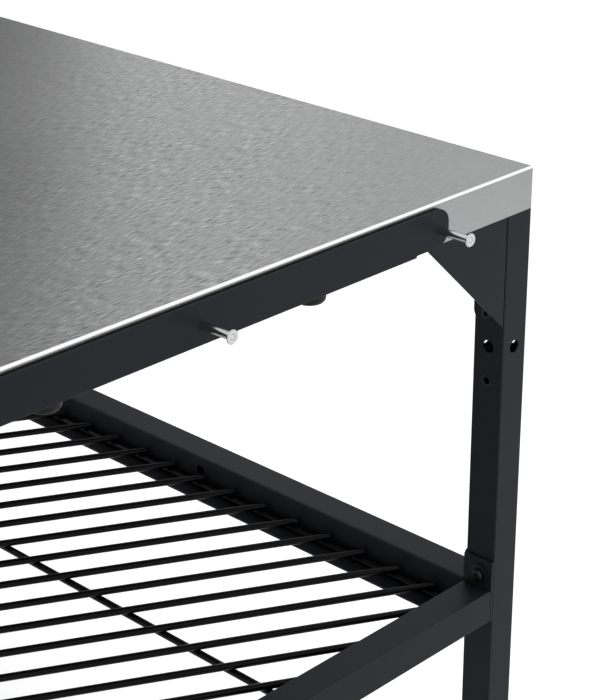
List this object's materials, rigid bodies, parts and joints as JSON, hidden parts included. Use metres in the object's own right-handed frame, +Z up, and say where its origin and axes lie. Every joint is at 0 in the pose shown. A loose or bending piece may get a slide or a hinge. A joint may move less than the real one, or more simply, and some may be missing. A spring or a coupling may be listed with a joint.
{
  "type": "outdoor pizza oven table",
  "caption": "Outdoor table for a pizza oven: folded steel worktop on a bolted tube frame, wire rack below, peg rail in front, swivel castors with brakes.",
  "frame": {"origin": "on the floor, at the middle of the whole table's box, pegs included", "axes": "+X to the right along the front edge, +Y from the peg rail to the back, +Z up"},
  "size_m": [0.967, 1.0836, 0.9],
  "materials": {
    "worktop_steel": "brushed along the front edge",
    "frame_coat": "fine satin powder coat, charcoal",
    "wire_coat": "satin coated round wire",
    "peg_steel": "polished",
    "black_steel": "black oxide",
    "plain_steel": "zinc plated",
    "castor_steel": "black coated pressed steel",
    "knob_plastic": "moulded, fine texture",
    "wheel_plastic": "moulded",
    "pedal_plastic": "moulded",
    "tyre_rubber": "matt grey-black tread"
  },
  "bodies": {
    "frame": {"castor_stems": "plain_steel", "frame_nuts": "plain_steel", "gusset_bolts": "black_steel", "gussets_back_left": "frame_coat", "gussets_back_right": "frame_coat", "gussets_front_left": "frame_coat", "gussets_front_right": "frame_coat", "leg_back_left": "frame_coat", "leg_back_right": "frame_coat", "leg_front_left": "frame_coat", "leg_front_right": "frame_coat", "leg_inserts": "black_steel", "leg_plugs": "knob_plastic", "peg_rail": "frame_coat", "pegs": "peg_steel", "shelf_bolts": "black_steel", "shelf_end_plates": "frame_coat", "shelf_ledge_back": "frame_coat", "shelf_ledge_front": "frame_coat", "shelf_ledge_left": "frame_coat", "shelf_ledge_right": "frame_coat", "shelf_rail_back": "frame_coat", "shelf_rail_front": "frame_coat", "shelf_rail_left": "frame_coat", "shelf_rail_right": "frame_coat", "shelf_washers": "black_steel", "top_crossbars": "frame_coat", "top_rail_back": "frame_coat", "top_rail_front": "frame_coat", "top_rail_left": "frame_coat", "top_rail_right": "frame_coat", "worktop": "worktop_steel", "worktop_nuts": "plain_steel"},
    "rack": {"rack_wires": "wire_coat", "rack_cross_wires": "wire_coat"},
    "washer_left": {"knob_washer_left": "plain_steel"},
    "knob_left": {"knob_left": "knob_plastic"},
    "washer_right": {"knob_washer_right": "plain_steel"},
    "knob_right": {"knob_right": "knob_plastic"},
    "castor_front_right": {"castor_fork_front_right": "castor_steel", "castor_axle_front_right": "plain_steel"},
    "wheel_front_right": {"wheel_hub_front_right": "wheel_plastic", "wheel_tyre_front_right": "tyre_rubber"},
    "brake_front_right": {"brake_pedal_front_right": "pedal_plastic"},
    "castor_front_left": {"castor_fork_front_left": "castor_steel", "castor_axle_front_left": "plain_steel"},
    "wheel_front_left": {"wheel_hub_front_left": "wheel_plastic", "wheel_tyre_front_left": "tyre_rubber"},
    "brake_front_left": {"brake_pedal_front_left": "pedal_plastic"},
    "castor_back_right": {"castor_fork_back_right": "castor_steel", "castor_axle_back_right": "plain_steel"},
    "wheel_back_right": {"wheel_hub_back_right": "wheel_plastic", "wheel_tyre_back_right": "tyre_rubber"},
    "brake_back_right": {"brake_pedal_back_right": "pedal_plastic"},
    "castor_back_left": {"castor_fork_back_left": "castor_steel", "castor_axle_back_left": "plain_steel"},
    "wheel_back_left": {"wheel_hub_back_left": "wheel_plastic", "wheel_tyre_back_left": "tyre_rubber"},
    "brake_back_left": {"brake_pedal_back_left": "pedal_plastic"}
  },
  "joints": [
    {"name": "rack_lift", "type": "slide", "parent": "frame", "child": "rack", "axis": [0, 0, 1], "range_m": [0, 0.3]},
    {"name": "washer_left_drop", "type": "slide", "parent": "frame", "child": "washer_left", "axis": [0, 0, -1], "range_m": [0, 0.005]},
    {"name": "knob_left_turn", "type": "hinge", "parent": "washer_left", "child": "knob_left", "pos_m": [-0.164, -0.47775, 0.8445], "axis": [0, 0, -1], "range_deg": [0, 1441]},
    {"name": "washer_right_drop", "type": "slide", "parent": "frame", "child": "washer_right", "axis": [0, 0, -1], "range_m": [0, 0.005]},
    {"name": "knob_right_turn", "type": "hinge", "parent": "washer_right", "child": "knob_right", "pos_m": [0.164, -0.47775, 0.8445], "axis": [0, 0, -1], "range_deg": [0, 1441]},
    {"name": "castor_front_right_swivel", "type": "hinge", "parent": "frame", "child": "castor_front_right", "pos_m": [0.4625, -0.47775, 0.09], "axis": [0, 0, 1], "continuous": true},
    {"name": "wheel_front_right_spin", "type": "hinge", "parent": "castor_front_right", "child": "wheel_front_right", "pos_m": [0.4345, -0.47775, 0.0375], "axis": [0, 1, 0], "continuous": true},
    {"name": "brake_front_right_press", "type": "hinge", "parent": "castor_front_right", "child": "brake_front_right", "pos_m": [0.4185, -0.47775, 0.08], "axis": [0, -1, 0], "range_deg": [0, 16]},
    {"name": "castor_front_left_swivel", "type": "hinge", "parent": "frame", "child": "castor_front_left", "pos_m": [-0.4625, -0.47775, 0.09], "axis": [0, 0, 1], "continuous": true},
    {"name": "wheel_front_left_spin", "type": "hinge", "parent": "castor_front_left", "child": "wheel_front_left", "pos_m": [-0.4345, -0.47775, 0.0375], "axis": [0, 1, 0], "continuous": true},
    {"name": "brake_front_left_press", "type": "hinge", "parent": "castor_front_left", "child": "brake_front_left", "pos_m": [-0.4185, -0.47775, 0.08], "axis": [0, 1, 0], "range_deg": [0, 16]},
    {"name": "castor_back_right_swivel", "type": "hinge", "parent": "frame", "child": "castor_back_right", "pos_m": [0.4625, 0.52125, 0.09], "axis": [0, 0, 1], "continuous": true},
    {"name": "wheel_back_right_spin", "type": "hinge", "parent": "castor_back_right", "child": "wheel_back_right", "pos_m": [0.4345, 0.52125, 0.0375], "axis": [0, 1, 0], "continuous": true},
    {"name": "brake_back_right_press", "type": "hinge", "parent": "castor_back_right", "child": "brake_back_right", "pos_m": [0.4185, 0.52125, 0.08], "axis": [0, -1, 0], "range_deg": [0, 16]},
    {"name": "castor_back_left_swivel", "type": "hinge", "parent": "frame", "child": "castor_back_left", "pos_m": [-0.4625, 0.52125, 0.09], "axis": [0, 0, 1], "continuous": true},
    {"name": "wheel_back_left_spin", "type": "hinge", "parent": "castor_back_left", "child": "wheel_back_left", "pos_m": [-0.4345, 0.52125, 0.0375], "axis": [0, 1, 0], "continuous": true},
    {"name": "brake_back_left_press", "type": "hinge", "parent": "castor_back_left", "child": "brake_back_left", "pos_m": [-0.4185, 0.52125, 0.08], "axis": [0, 1, 0], "range_deg": [0, 16]}
  ],
  "couplings": [
    {"joint": "knob_left_turn", "follows": "washer_left_drop", "rad_per_m": 5026.5},
    {"joint": "knob_right_turn", "follows": "washer_right_drop", "rad_per_m": 5026.5}
  ]
}
